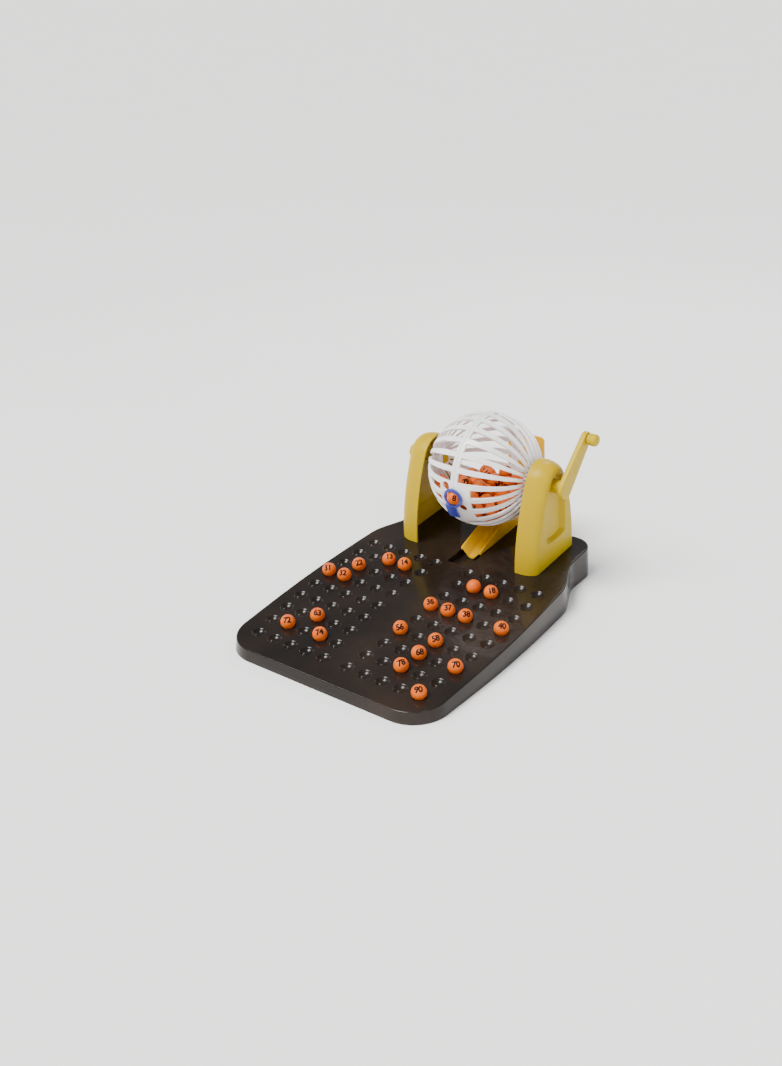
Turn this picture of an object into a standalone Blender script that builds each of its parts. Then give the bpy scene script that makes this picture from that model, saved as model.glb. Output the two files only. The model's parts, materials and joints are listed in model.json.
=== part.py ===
"""Tabletop bingo cage: a ribbed ball cage turned by a crank, on a ball tray with ninety hollows.

The tray's deck slopes down to the front. Everything on the deck is modelled in the deck's own
frame (x to the crank side, y to the back, z out of the deck) under one tilted empty.
"""
import math

import bmesh
import bpy
from mathutils import Matrix, Vector

MM = 0.001

# Driving dimensions
PITCH = 20.8 * MM
BALL_RADIUS = 7.5 * MM
GAP = 0.3 * MM
DECK_SLOPE = 0.063
DECK_HEIGHT = 14.3 * MM
TRAY_FRONT = -1.38 * PITCH
TRAY_BACK = 15.35 * PITCH
TRAY_WALL = 2.4 * MM
FRONT_HALF_WIDTH = 5.9
SIDE_BOW = 0.17
BOW_START = 0.4
BOW_LENGTH = 10.0
SIDE_NARROWING = 0.87
NARROWING_START = 10.3
NARROWING_LENGTH = 2.8
SKIRT_DRAFT = 1.6 * MM
HOLLOW_ROW_PITCH = 1.184 * PITCH
HOLLOW_DEPTH = 3.8 * MM
HOLLOW_GAP_HALF = 0.698
HOLLOW_GAP_GROWTH = 0.192
HOLLOW_GAP_CURVE = 0.019
CAGE_RADIUS = 2.95 * PITCH
CAGE_WALL = 2.4 * MM
CAGE_Y = 12.9 * PITCH
CAGE_Z = 4.15 * PITCH
RIB_COUNT = 24
RIB_WIDTH_AT_RING = 5.6 * MM
RIB_WIDTH_AT_HUB = 2.6 * MM
RING_HALF_WIDTH = 4.0 * MM
HUB_RADIUS = 14.3 * MM
SHANK_HALF_SIDE = 4.7 * MM
JOURNAL_RADIUS = 7.0 * MM
STAND_INNER_X = 3.02 * PITCH
STAND_DEPTH = 1.13 * PITCH
STAND_WALL = 2.0 * MM
STAND_TOP_RADIUS = 1.2 * PITCH
STAND_FRONT_HALF = 2.25 * PITCH
STAND_REAR_HALF = 1.98 * PITCH
RECESS_DEPTH = 5.0 * MM
RECESS_RIM = (0.66 * PITCH, 0.98 * PITCH, 0.86 * PITCH, 1.28 * PITCH)
RECESS_FLOOR = (0.5 * PITCH, 0.78 * PITCH, 0.66 * PITCH, 1.46 * PITCH)
CHUTE_HALF_WIDTH = 12.6 * MM
CHUTE_FRONT = 11.25 * PITCH
CHUTE_BACK = 15.1 * PITCH
CHUTE_SLOPE = 0.29
CHUTE_FRONT_HEIGHT = 3.5 * MM
CHUTE_DEPTH = 9.8 * MM
CHUTE_WALL = 1.8 * MM
SHIELD_Y = 16.95 * PITCH
SHIELD_HALF_WIDTH = 1.12 * PITCH
SHIELD_TOP = 4.45 * PITCH
CRANK_X = 4.6 * PITCH
CRANK_LENGTH = 2.78 * PITCH
CRANK_LEAN = math.radians(48.0)
CRANK_BOSS_RADIUS = 11.2 * MM
CRANK_TIP_RADIUS = 7.4 * MM
CRANK_HALF_THICK = 3.0 * MM
PEG_LENGTH = 11.0 * MM
PEG_RADIUS = 2.8 * MM
KNOB_FAR = 14.5 * MM
KNOB_RADIUS = 6.5 * MM
SHANK_INNER_X = 51.0 * MM
SHANK_OUTER_X = 75.0 * MM
JOURNAL_INNER_X = 73.0 * MM
AXLE_CAP_RADIUS = 9.4 * MM
AXLE_CAP_LENGTH = 10.0 * MM
EXIT_ANGLE = math.radians(6.0)
EXIT_HOLE_RADIUS = 8.4 * MM

TILT = math.atan(DECK_SLOPE)
FRONT_REACH = math.cos(TILT) * TRAY_FRONT - SKIRT_DRAFT
SHIELD_FOOT = CHUTE_FRONT_HEIGHT - CHUTE_DEPTH + CHUTE_SLOPE * (SHIELD_Y - CHUTE_FRONT) - CHUTE_WALL
BACK_REACH = math.cos(TILT) * SHIELD_Y - math.sin(TILT) * SHIELD_FOOT
DECK_SHIFT = -(FRONT_REACH + BACK_REACH) / 2
TRAY_BALLS = (13, 14, 17, 18, 22, 31, 32, 36, 37, 38, 40, 56, 58, 63, 68, 70, 72, 74, 78, 90)

YELLOW = (0.84, 0.68, 0.03)
WHITE = (0.86, 0.84, 0.83)
ORANGE = (0.86, 0.23, 0.03)
BLACK = (0.012, 0.010, 0.010)
BLUE = (0.04, 0.07, 0.42)


def clear_scene():
    for old in list(bpy.data.objects):
        bpy.data.objects.remove(old, do_unlink=True)


def plastic(name, colour, roughness):
    material = bpy.data.materials.new(name)
    material.use_nodes = True
    shader = material.node_tree.nodes["Principled BSDF"]
    shader.inputs["Base Color"].default_value = (*colour, 1.0)
    shader.inputs["Roughness"].default_value = roughness
    return material


def add_empty(name, location, rotation, parent):
    empty = bpy.data.objects.new(name, None)
    bpy.context.scene.collection.objects.link(empty)
    empty.location = location
    empty.rotation_euler = rotation
    empty.parent = parent
    return empty


def add_object(name, bm, material, parent, smooth_angle=40.0):
    """Makes an object of a bmesh, with its normals turned out."""
    bmesh.ops.recalc_face_normals(bm, faces=bm.faces)
    mesh = bpy.data.meshes.new(name)
    bm.to_mesh(mesh)
    bm.free()
    mesh.shade_smooth()
    mesh.set_sharp_from_angle(angle=math.radians(smooth_angle))
    obj = bpy.data.objects.new(name, mesh)
    bpy.context.scene.collection.objects.link(obj)
    obj.parent = parent
    if material:
        mesh.materials.append(material)
    return obj


def as_tool(obj):
    obj.hide_render = True
    obj.display_type = "WIRE"
    return obj


def combine(obj, tool, operation):
    modifier = obj.modifiers.new(tool.name, "BOOLEAN")
    modifier.operation = operation
    modifier.solver = "EXACT"
    modifier.object = as_tool(tool)


def loft(bm, loops, cap_start=True, cap_end=True, closed=True):
    """Joins loops of equal length by quads, and caps the two ends."""
    rings = [[bm.verts.new(point) for point in loop] for loop in loops]
    count = len(rings[0])
    spans = count if closed else count - 1
    for near, far in zip(rings, rings[1:]):
        for i in range(spans):
            j = (i + 1) % count
            bm.faces.new((near[i], near[j], far[j], far[i]))
    if cap_start:
        bm.faces.new(rings[0])
    if cap_end:
        bm.faces.new(rings[-1])
    return rings


def arc(centre, radius, start, end, steps):
    """Points on an arc from start to end, in degrees, both ends included."""
    angles = (math.radians(start + (end - start) * i / steps) for i in range(steps + 1))
    return [(centre[0] + radius * math.cos(a), centre[1] + radius * math.sin(a)) for a in angles]


def offset_outline(points, inset, closed=True):
    """Moves each point of an anticlockwise outline inwards along its normal."""
    moved = []
    count = len(points)
    for i, point in enumerate(points):
        before = points[i - 1] if closed or i > 0 else point
        after = points[(i + 1) % count] if closed or i < count - 1 else point
        along = Vector((after[0] - before[0], after[1] - before[1])).normalized()
        moved.append((point[0] - along.y * inset, point[1] + along.x * inset))
    return moved


def cylinder_between(bm, start, end, radius, sides):
    axis = Vector(end) - Vector(start)
    turn = Vector((0, 0, 1)).rotation_difference(axis).to_matrix().to_4x4()
    place = Matrix.Translation((Vector(start) + Vector(end)) / 2) @ turn
    bmesh.ops.create_cone(
        bm, cap_ends=True, segments=sides, radius1=radius, radius2=radius,
        depth=axis.length, matrix=place,
    )


def box_between(bm, low, high):
    size = Vector(high) - Vector(low)
    place = Matrix.Translation((Vector(low) + Vector(high)) / 2) @ Matrix.Diagonal((*size, 1.0))
    bmesh.ops.create_cube(bm, size=1.0, matrix=place)


# ---------------------------------------------------------------- tray

def side_half_width(y):
    """Half width of the deck at y: a slight bow, then an S-curve in to the stand end."""
    bow_share = min(max((y / PITCH - BOW_START) / BOW_LENGTH, 0.0), 1.0)
    bow = SIDE_BOW * math.sin(math.pi * bow_share)
    t = min(max((y / PITCH - NARROWING_START) / NARROWING_LENGTH, 0.0), 1.0)
    narrowing = SIDE_NARROWING * t * t * (3 - 2 * t)
    return (FRONT_HALF_WIDTH + bow - narrowing) * PITCH


def tray_outline():
    """The deck's edge, anticlockwise from the front's middle."""
    front_radius = 1.75 * PITCH
    back_radius = 1.0 * PITCH
    front_y = TRAY_FRONT + front_radius
    back_y = TRAY_BACK - back_radius
    right = arc((side_half_width(front_y) - front_radius, front_y), front_radius, -90, 0, 6)
    steps = 14
    for i in range(1, steps):
        y = front_y + (back_y - front_y) * i / steps
        right.append((side_half_width(y), y))
    right += arc((side_half_width(back_y) - back_radius, back_y), back_radius, 0, 90, 5)
    left = [(-x, y) for x, y in reversed(right)]
    return right + left


def deck_to_world(x, y, z):
    return Vector((
        x,
        DECK_SHIFT + y * math.cos(TILT) - z * math.sin(TILT),
        DECK_HEIGHT + y * math.sin(TILT) + z * math.cos(TILT),
    ))


def hollow_gap(row_back):
    """Half the gap between the two groups of hollows, narrowing in a curve to the front."""
    return (HOLLOW_GAP_HALF + HOLLOW_GAP_GROWTH * row_back - HOLLOW_GAP_CURVE * row_back ** 2) * PITCH


def hollow_centre(number):
    """Deck position of a ball number's hollow: rows of ten, the first row at the back."""
    row, column = divmod(number - 1, 10)
    row_back = 8 - row
    across = hollow_gap(row_back) + (column - 5 if column > 4 else 4 - column) * PITCH
    side = 1 if column > 4 else -1
    return side * across, row_back * HOLLOW_ROW_PITCH


def hollow_tool(deck):
    bm = bmesh.new()
    rim_radius = 7.1 * MM
    floor_radius = 4.4 * MM
    above = 1.0 * MM
    widening = (rim_radius - floor_radius) / HOLLOW_DEPTH
    for number in range(1, 91):
        x, y = hollow_centre(number)
        middle = (above - HOLLOW_DEPTH) / 2
        bmesh.ops.create_cone(
            bm, cap_ends=True, segments=8, radius1=floor_radius,
            radius2=rim_radius + widening * above, depth=HOLLOW_DEPTH + above,
            matrix=Matrix.Translation((x, y, middle)),
        )
    return add_object("hollow_cutter", bm, None, deck)


def rail_tool(deck):
    """Ribs under the deck, one along each column of hollows."""
    bm = bmesh.new()
    half = 8.0 * MM
    top = -1.4 * MM
    bottom = -HOLLOW_DEPTH - 1.8 * MM
    for column in range(10):
        stations = []
        for row_back in (-0.36, 2, 4, 6, 8.36):
            side = 1 if column > 4 else -1
            across = hollow_gap(row_back) + (column - 5 if column > 4 else 4 - column) * PITCH
            x, y = side * across, row_back * HOLLOW_ROW_PITCH
            left, right = x - half, x + half
            stations.append([(left, y, bottom), (right, y, bottom), (right, y, top), (left, y, top)])
        loft(bm, stations)
    return add_object("rail_tool", bm, None, deck)


def well_profile(clearance):
    """Side outline (y, z) of the ball well that the chute's end drops into."""
    depth = 8.4 * MM + clearance
    front = 9.95 * PITCH - clearance
    floor_back = CHUTE_FRONT + 1.0 * MM
    ramp_back = floor_back + depth / CHUTE_SLOPE + 4.0 * MM
    return front, floor_back, ramp_back, depth


def well_tool(deck, name, clearance, half_width, top):
    bm = bmesh.new()
    front, floor_back, ramp_back, depth = well_profile(clearance)
    ramp_top = -depth + CHUTE_SLOPE * (ramp_back - floor_back)
    outline = [(front, top), (front, -depth), (floor_back, -depth), (ramp_back, ramp_top), (ramp_back, top)]
    if top < ramp_top:
        ramp_back = floor_back + (depth + top) / CHUTE_SLOPE
        outline = [(front, top), (front, -depth), (floor_back, -depth), (ramp_back, top)]
    loft(bm, [[(x, y, z) for y, z in outline] for x in (-half_width, half_width)])
    return add_object(name, bm, None, deck)


def build_tray(deck):
    material = plastic("tray_black", BLACK, 0.12)
    outline = tray_outline()

    def on_ground(inset):
        return [Vector((x, deck_to_world(x, y, 0).y, 0.0)) for x, y in offset_outline(outline, inset)]

    def on_deck(inset, z):
        return [deck_to_world(x, y, z) for x, y in offset_outline(outline, inset)]

    edge = 2.2 * MM
    loops = [
        on_deck(TRAY_WALL, -TRAY_WALL),
        on_ground(TRAY_WALL - SKIRT_DRAFT),
        on_ground(-SKIRT_DRAFT),
        on_deck(0.0, -edge),
        on_deck(0.3 * edge, -0.3 * edge),
        on_deck(edge, 0.0),
    ]
    bm = bmesh.new()
    loft(bm, loops)
    tray = add_object("base_tray", bm, material, None)
    combine(tray, rail_tool(deck), "UNION")
    combine(tray, well_tool(deck, "well_shell", 1.8 * MM, 14.8 * MM, -1.4 * MM), "UNION")
    combine(tray, hollow_tool(deck), "DIFFERENCE")
    combine(tray, well_tool(deck, "well_cutter", 0.0, 13.0 * MM, 2.0 * MM), "DIFFERENCE")
    return tray


# ---------------------------------------------------------------- stands

def arch(top_radius, front_half, rear_half, foot_z):
    """Open arch (y from the axle, z) from its front foot over the axle to its rear foot."""
    join_angle = 25.0
    join_half = top_radius * math.cos(math.radians(join_angle))
    rise = CAGE_Z + top_radius * math.sin(math.radians(join_angle)) - foot_z

    def leg(foot_half):
        spread = foot_half - join_half
        power = math.tan(math.radians(join_angle)) * rise / spread
        shares = (0.0, 0.28, 0.52, 0.74, 0.9)
        return [(join_half + spread * (1 - share ** power), foot_z + share * rise) for share in shares]

    front = [(-y, z) for y, z in leg(front_half)]
    top = arc((0.0, CAGE_Z), top_radius, 180 - join_angle, join_angle, 8)
    return front + top + leg(rear_half)[::-1]


def outer_arch(inset):
    """The stand's outline moved in by inset, with its feet kept on the deck."""
    outline = arch(STAND_TOP_RADIUS, STAND_FRONT_HALF, STAND_REAR_HALF, 0.0)
    profile = offset_outline(outline, -inset, closed=False)
    return [(y, max(z, 0.0)) for y, z in profile]


def closed_foot(outline, sag):
    """An arch closed along its foot by a line that sags in the middle."""
    (front, foot_z), (rear, _) = outline[0], outline[-1]
    foot = []
    for share in (0.8, 0.6, 0.4, 0.2):
        foot.append((front + (rear - front) * share, foot_z - sag * 4 * share * (1 - share)))
    return outline + foot


def build_stand(name, side, deck):
    material = plastic(name + "_yellow", YELLOW, 0.35)
    corner_in = 10.0 * MM
    flat_depth = 6.0 * MM
    round_depth = STAND_DEPTH - flat_depth
    sag = 2.5 * MM
    bm = bmesh.new()

    def at(depth, outline):
        x = side * (STAND_INNER_X + depth)
        return [(x, CAGE_Y + y, GAP + z) for y, z in outline]

    shell = [at(0.0, outer_arch(0.0)), at(flat_depth, outer_arch(0.0))]
    for degrees in (25, 50, 72):
        t = math.radians(degrees)
        shell.append(at(flat_depth + round_depth * math.sin(t), outer_arch(corner_in * (1 - math.cos(t)))))
    rings = loft(bm, shell, cap_start=False, cap_end=False, closed=False)
    face = loft(
        bm,
        [
            at(STAND_DEPTH, closed_foot(outer_arch(corner_in), 0.0)),
            at(STAND_DEPTH, closed_foot(arch(*RECESS_RIM), sag)),
            at(STAND_DEPTH - RECESS_DEPTH, closed_foot(arch(*RECESS_FLOOR), sag)),
        ],
        cap_start=False,
    )
    last = rings[-1]
    for i in range(len(last) - 1):
        bm.faces.new((last[i], last[i + 1], face[0][i + 1], face[0][i]))
    stand = add_object(name, bm, material, deck)
    shell_modifier = stand.modifiers.new("wall", "SOLIDIFY")
    shell_modifier.thickness = STAND_WALL
    shell_modifier.offset = -1.0
    shell_modifier.use_even_offset = True
    bore = bmesh.new()
    reach = 10.0 * MM
    bore_radius = JOURNAL_RADIUS + 0.4 * MM
    low = side * (STAND_INNER_X + reach)
    high = side * (STAND_INNER_X + STAND_DEPTH + reach)
    cylinder_between(bore, (low, CAGE_Y, CAGE_Z), (high, CAGE_Y, CAGE_Z), bore_radius, 20)
    combine(stand, add_object(name + "_bore", bore, None, deck), "DIFFERENCE")
    return stand


# ---------------------------------------------------------------- chute

def chute_top(y):
    return CHUTE_FRONT_HEIGHT + CHUTE_SLOPE * (y - CHUTE_FRONT)


def chute_section(y, half_width, floor_half, skirt_z):
    """Cross-section of the V channel, with side walls that reach down to skirt_z."""
    top = chute_top(y)
    floor = top - CHUTE_DEPTH
    knee = floor + 0.8 * MM
    inner = half_width - CHUTE_WALL
    right = [(half_width, skirt_z), (half_width, top), (inner, top), (floor_half, knee)]
    under = [(floor_half, knee - CHUTE_WALL), (inner, top - CHUTE_WALL - 0.6 * MM), (inner, skirt_z)]
    points = right + [(0.0, floor)] + [(-x, z) for x, z in reversed(right)]
    points += [(-x, z) for x, z in reversed(under)] + [(0.0, floor - CHUTE_WALL)] + under
    return [(x, y, z) for x, z in points]


def build_chute(deck):
    """A V channel falling to the front on two side walls, with a scoop and a tall shield behind the cage."""
    material = plastic("chute_yellow", YELLOW, 0.35)
    floor_half = 3.0 * MM
    sections = [
        chute_section(y, CHUTE_HALF_WIDTH, floor_half, GAP)
        for y in (CHUTE_FRONT, CHUTE_FRONT + 30 * MM, CHUTE_BACK)
    ]
    scoop_start = CHUTE_BACK + 6.0 * MM
    scoop_end = SHIELD_Y - CHUTE_WALL / 2
    wall_height = 3.2 * MM
    scoop_half_width = SHIELD_HALF_WIDTH - 0.8 * MM
    for share in (0.0, 0.5, 1.0):
        y = scoop_start + (scoop_end - scoop_start) * share
        half_width = CHUTE_HALF_WIDTH + (scoop_half_width - CHUTE_HALF_WIDTH) * share
        sections.append(chute_section(y, half_width, floor_half * (1 + share), chute_top(y) - wall_height))
    bm = bmesh.new()
    loft(bm, sections)
    chute = add_object("ball_chute", bm, material, deck, 25.0)
    shield = bmesh.new()
    corner = 5.0 * MM
    outline = [(-SHIELD_HALF_WIDTH, SHIELD_FOOT), (SHIELD_HALF_WIDTH, SHIELD_FOOT)]
    outline += arc((SHIELD_HALF_WIDTH - corner, SHIELD_TOP - corner), corner, 0, 90, 4)
    outline += arc((corner - SHIELD_HALF_WIDTH, SHIELD_TOP - corner), corner, 90, 180, 4)
    loft(shield, [[(x, y, z) for x, z in outline] for y in (SHIELD_Y - CHUTE_WALL, SHIELD_Y)])
    combine(chute, add_object("chute_shield", shield, None, deck), "UNION")
    return chute


# ---------------------------------------------------------------- cage

def cage_point(side, polar, around):
    """A point on the cage's sphere: polar from its axle, around from the front downwards."""
    radius = CAGE_RADIUS * math.sin(polar)
    return Vector((
        side * CAGE_RADIUS * math.cos(polar),
        -radius * math.cos(around),
        -radius * math.sin(around),
    ))


def rib_half_angle(polar):
    hub = math.asin(HUB_RADIUS / CAGE_RADIUS)
    share = (polar - hub) / (math.pi / 2 - hub)
    width = RIB_WIDTH_AT_HUB + (RIB_WIDTH_AT_RING - RIB_WIDTH_AT_HUB) * min(share * 1.4, 1.0)
    return width / 2 / (CAGE_RADIUS * math.sin(polar))


def rib_columns(polar):
    """Angles of both edges of every rib, in turn around the axle."""
    half = rib_half_angle(polar)
    step = 2 * math.pi / RIB_COUNT
    angles = []
    for rib in range(RIB_COUNT):
        middle = (rib + 0.5) * step
        angles += [middle - half, middle + half]
    return angles


def build_cage_half(name, side, spin):
    material = plastic(name + "_white", WHITE, 0.4)
    hub = math.asin(HUB_RADIUS / CAGE_RADIUS)
    ring = math.pi / 2 - RING_HALF_WIDTH / CAGE_RADIUS
    seam = math.pi / 2 - GAP / 2 / CAGE_RADIUS
    panel = math.radians(73.0)
    steps = (hub, math.radians(28), math.radians(44), math.radians(59), panel, ring, seam)
    bm = bmesh.new()
    rows = []
    for polar in steps:
        rows.append([bm.verts.new(cage_point(side, polar, a)) for a in rib_columns(polar)])
    columns = 2 * RIB_COUNT
    first_gap_angle = math.radians(-12.0)
    last_gap_angle = math.radians(34.0)
    for r, (near, far) in enumerate(zip(rows, rows[1:])):
        for i in range(columns):
            j = (i + 1) % columns
            is_rib = i % 2 == 0
            is_ring = r == len(rows) - 2
            gap_angle = (i // 2 + 1) * 2 * math.pi / RIB_COUNT
            gap_angle = (gap_angle + math.pi) % (2 * math.pi) - math.pi
            in_panel = r == len(rows) - 3 and first_gap_angle < gap_angle < last_gap_angle
            if is_rib or is_ring or in_panel:
                bm.faces.new((near[i], near[j], far[j], far[i]))
    hole_half = SHANK_HALF_SIDE + GAP
    sleeve = 8.0 * MM
    square, inner = [], []
    hub_x = side * CAGE_RADIUS * math.cos(hub)
    for a in rib_columns(hub):
        reach = hole_half / max(abs(math.cos(a)), abs(math.sin(a)))
        y, z = -reach * math.cos(a), -reach * math.sin(a)
        square.append(bm.verts.new((hub_x + side * 0.9 * MM, y, z)))
        inner.append(bm.verts.new((hub_x - side * sleeve, y, z)))
    for near, far in ((inner, square), (square, rows[0])):
        for i in range(columns):
            j = (i + 1) % columns
            bm.faces.new((near[i], near[j], far[j], far[i]))
    obj = add_object(name, bm, material, spin)
    if obj.data.polygons[0].normal.dot(obj.data.polygons[0].center) < 0:
        obj.data.flip_normals()
    wall = obj.modifiers.new("wall", "SOLIDIFY")
    wall.thickness = CAGE_WALL
    wall.offset = -1.0
    wall.use_even_offset = True
    cutter = bmesh.new()
    reach = 9.0 * MM
    inner_end = exit_direction(EXIT_ANGLE) * (CAGE_RADIUS - reach)
    outer_end = exit_direction(EXIT_ANGLE) * (CAGE_RADIUS + reach)
    cylinder_between(cutter, inner_end, outer_end, EXIT_HOLE_RADIUS, 16)
    combine(obj, add_object(name + "_exit", cutter, None, spin), "DIFFERENCE")
    return obj


def exit_direction(angle):
    return Vector((0.0, -math.cos(angle), -math.sin(angle)))


def build_gate(spin):
    """Ring that holds one ball in the exit, with a curved tail down to its hinge."""
    material = plastic("gate_blue", BLUE, 0.3)
    thickness = 2.2 * MM
    outward = exit_direction(EXIT_ANGLE)
    down = exit_direction(EXIT_ANGLE + math.pi / 2)
    across = Vector((1.0, 0.0, 0.0))
    base = CAGE_RADIUS + 0.5 * MM
    sides = 20

    def ring(radius, height):
        points = []
        for i in range(sides):
            a = 2 * math.pi * i / sides
            points.append(outward * height + across * radius * math.cos(a) + down * radius * math.sin(a))
        return points

    bm = bmesh.new()
    inner, outer = 8.4 * MM, 10.9 * MM
    face = base + thickness
    loops = [ring(inner, base), ring(outer, base), ring(outer, face), ring(inner, face)]
    rings = loft(bm, loops, cap_start=False, cap_end=False)
    for i in range(sides):
        j = (i + 1) % sides
        bm.faces.new((rings[3][i], rings[3][j], rings[0][j], rings[0][i]))
    gate = add_object("ball_gate", bm, material, spin)
    tail = bmesh.new()
    sections = []
    tail_x = (-11.0 * MM, 1.0 * MM)
    for degrees in (9.3, 14.0, 20.0, 26.0):
        direction = exit_direction(EXIT_ANGLE + math.radians(degrees))
        low, high = direction * base, direction * (base + thickness)
        sections.append([
            low + across * tail_x[0], low + across * tail_x[1],
            high + across * tail_x[1], high + across * tail_x[0],
        ])
    loft(tail, sections)
    combine(gate, add_object("gate_tail", tail, None, spin), "UNION")
    return gate


def build_pile(pivot):
    """The bed of loose balls as one plain solid, clear of the ball that rides in the exit."""
    material = plastic("pile_orange", ORANGE, 0.4)
    bm = bmesh.new()
    radius = CAGE_RADIUS - CAGE_WALL - 1.8 * MM
    bmesh.ops.create_uvsphere(bm, u_segments=20, v_segments=10, radius=radius)
    bmesh.ops.rotate(bm, verts=bm.verts, matrix=Matrix.Rotation(math.pi / 2, 3, "Y"))
    pile = add_object("ball_pile", bm, material, pivot)
    top = bmesh.new()
    level = -20.0 * MM
    box_between(top, (-CAGE_RADIUS, -CAGE_RADIUS, level), (CAGE_RADIUS, CAGE_RADIUS, CAGE_RADIUS))
    combine(pile, add_object("pile_top", top, None, pivot), "DIFFERENCE")
    groove = bmesh.new()
    sides = 32
    half = 8.6 * MM
    groove_floor = 53.0 * MM
    groove_top = 66.0 * MM

    def circle(x, radius):
        angles = [2 * math.pi * i / sides for i in range(sides)]
        return [(x, radius * math.cos(a), radius * math.sin(a)) for a in angles]

    loops = [circle(-half, groove_floor), circle(-half, groove_top)]
    loops += [circle(half, groove_top), circle(half, groove_floor)]
    rings = loft(groove, loops, cap_start=False, cap_end=False)
    for i in range(sides):
        j = (i + 1) % sides
        groove.faces.new((rings[3][i], rings[3][j], rings[0][j], rings[0][i]))
    combine(pile, add_object("pile_groove", groove, None, pivot), "DIFFERENCE")
    return pile


# ---------------------------------------------------------------- crank and axle

def square_shank(x_near, x_far):
    bm = bmesh.new()
    half = SHANK_HALF_SIDE
    box_between(bm, (min(x_near, x_far), -half, -half), (max(x_near, x_far), half, half))
    return bm


def tapered_bar(start, end, start_radius, end_radius, x_low, x_high):
    """A flat bar with round ends of two sizes, in the plane across the axle."""
    along = Vector((0.0, end[0] - start[0], end[1] - start[1]))
    lean = math.degrees(math.acos((start_radius - end_radius) / along.length))
    along.normalize()
    across = Vector((0.0, -along.z, along.y))
    start_point = Vector((0.0, *start))
    end_point = Vector((0.0, *end))
    steps = 8
    outline = []
    for middle, radius, first, last in (
        (end_point, end_radius, -lean, lean), (start_point, start_radius, lean, 360 - lean),
    ):
        for y, z in arc((0.0, 0.0), radius, first, last, steps):
            outline.append((middle, along * y + across * z))
    edge = 1.2 * MM
    bm = bmesh.new()
    loops = []
    for x, shrink in ((x_low, 0.9), (x_low + edge, 1.0), (x_high - edge, 1.0), (x_high, 0.9)):
        loops.append([middle + reach * shrink + Vector((x, 0.0, 0.0)) for middle, reach in outline])
    loft(bm, loops)
    return bm


def crank_end():
    return CRANK_LENGTH * math.sin(CRANK_LEAN), CRANK_LENGTH * math.cos(CRANK_LEAN)


def build_crank(spin):
    material = plastic("crank_yellow", YELLOW, 0.35)
    y, z = crank_end()
    near = CRANK_X - CRANK_HALF_THICK
    far = CRANK_X + CRANK_HALF_THICK
    arm = tapered_bar((0.0, 0.0), (y, z), CRANK_BOSS_RADIUS, CRANK_TIP_RADIUS, near, far)
    crank = add_object("crank_handle", arm, material, spin)
    journal = bmesh.new()
    cylinder_between(journal, (JOURNAL_INNER_X, 0, 0), (CRANK_X, 0, 0), JOURNAL_RADIUS, 20)
    combine(crank, add_object("crank_journal", journal, None, spin), "UNION")
    shank = square_shank(SHANK_INNER_X, SHANK_OUTER_X)
    combine(crank, add_object("crank_shank", shank, None, spin), "UNION")
    peg = bmesh.new()
    cylinder_between(peg, (CRANK_X, y, z), (CRANK_X + PEG_LENGTH, y, z), PEG_RADIUS, 14)
    combine(crank, add_object("crank_peg", peg, None, spin), "UNION")
    return crank


def lathe(profile, sides):
    """Turns a closed profile of (x, radius) points about the x axis."""
    bm = bmesh.new()
    loops = []
    for i in range(sides):
        a = 2 * math.pi * i / sides
        loops.append([(x, r * math.cos(a), r * math.sin(a)) for x, r in profile])
    rings = loft(bm, loops, cap_start=False, cap_end=False)
    count = len(profile)
    for i in range(count):
        j = (i + 1) % count
        bm.faces.new((rings[-1][i], rings[-1][j], rings[0][j], rings[0][i]))
    bmesh.ops.remove_doubles(bm, verts=bm.verts, dist=1e-6)
    return bm


def build_knob(spin):
    material = plastic("knob_yellow", YELLOW, 0.35)
    y, z = crank_end()
    pivot = add_empty("knob_pivot", (CRANK_X, y, z), (0, 0, 0), spin)
    near = CRANK_HALF_THICK + GAP
    bore = PEG_RADIUS + 0.35 * MM
    bore_end = PEG_LENGTH + 0.8 * MM
    profile = [
        (near, bore), (near, 0.83 * KNOB_RADIUS), (near + 1.0 * MM, 0.94 * KNOB_RADIUS),
        (KNOB_FAR - 4.0 * MM, KNOB_RADIUS), (KNOB_FAR - 1.5 * MM, 0.89 * KNOB_RADIUS),
        (KNOB_FAR - 0.3 * MM, 0.58 * KNOB_RADIUS), (KNOB_FAR, 0.0), (bore_end, 0.0), (bore_end, bore),
    ]
    return add_object("crank_knob", lathe(profile, 18), material, pivot)


def build_axle(spin):
    material = plastic("axle_yellow", YELLOW, 0.35)
    face = -(STAND_INNER_X + STAND_DEPTH)
    journal_end = face + 14.0 * MM
    cap_start = face - 0.5 * MM
    cap_end = face - AXLE_CAP_LENGTH
    cap = lathe(
        [
            (journal_end, 0.0), (journal_end, JOURNAL_RADIUS), (cap_start, JOURNAL_RADIUS),
            (cap_start, AXLE_CAP_RADIUS), (cap_end + 3.5 * MM, 0.91 * AXLE_CAP_RADIUS),
            (cap_end + 1.0 * MM, 0.68 * AXLE_CAP_RADIUS), (cap_end, 0.0),
        ],
        20,
    )
    axle = add_object("axle_left", cap, material, spin)
    shank = square_shank(-SHANK_INNER_X, journal_end - 2.0 * MM)
    combine(axle, add_object("axle_shank", shank, None, spin), "UNION")
    return axle


# ---------------------------------------------------------------- balls

def build_ball(name, location, parent):
    bm = bmesh.new()
    bmesh.ops.create_icosphere(bm, subdivisions=2, radius=BALL_RADIUS)
    material = plastic(name + "_orange", ORANGE, 0.35)
    ball = add_object(name, bm, material, parent, 80.0)
    ball.location = location
    return ball


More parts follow.
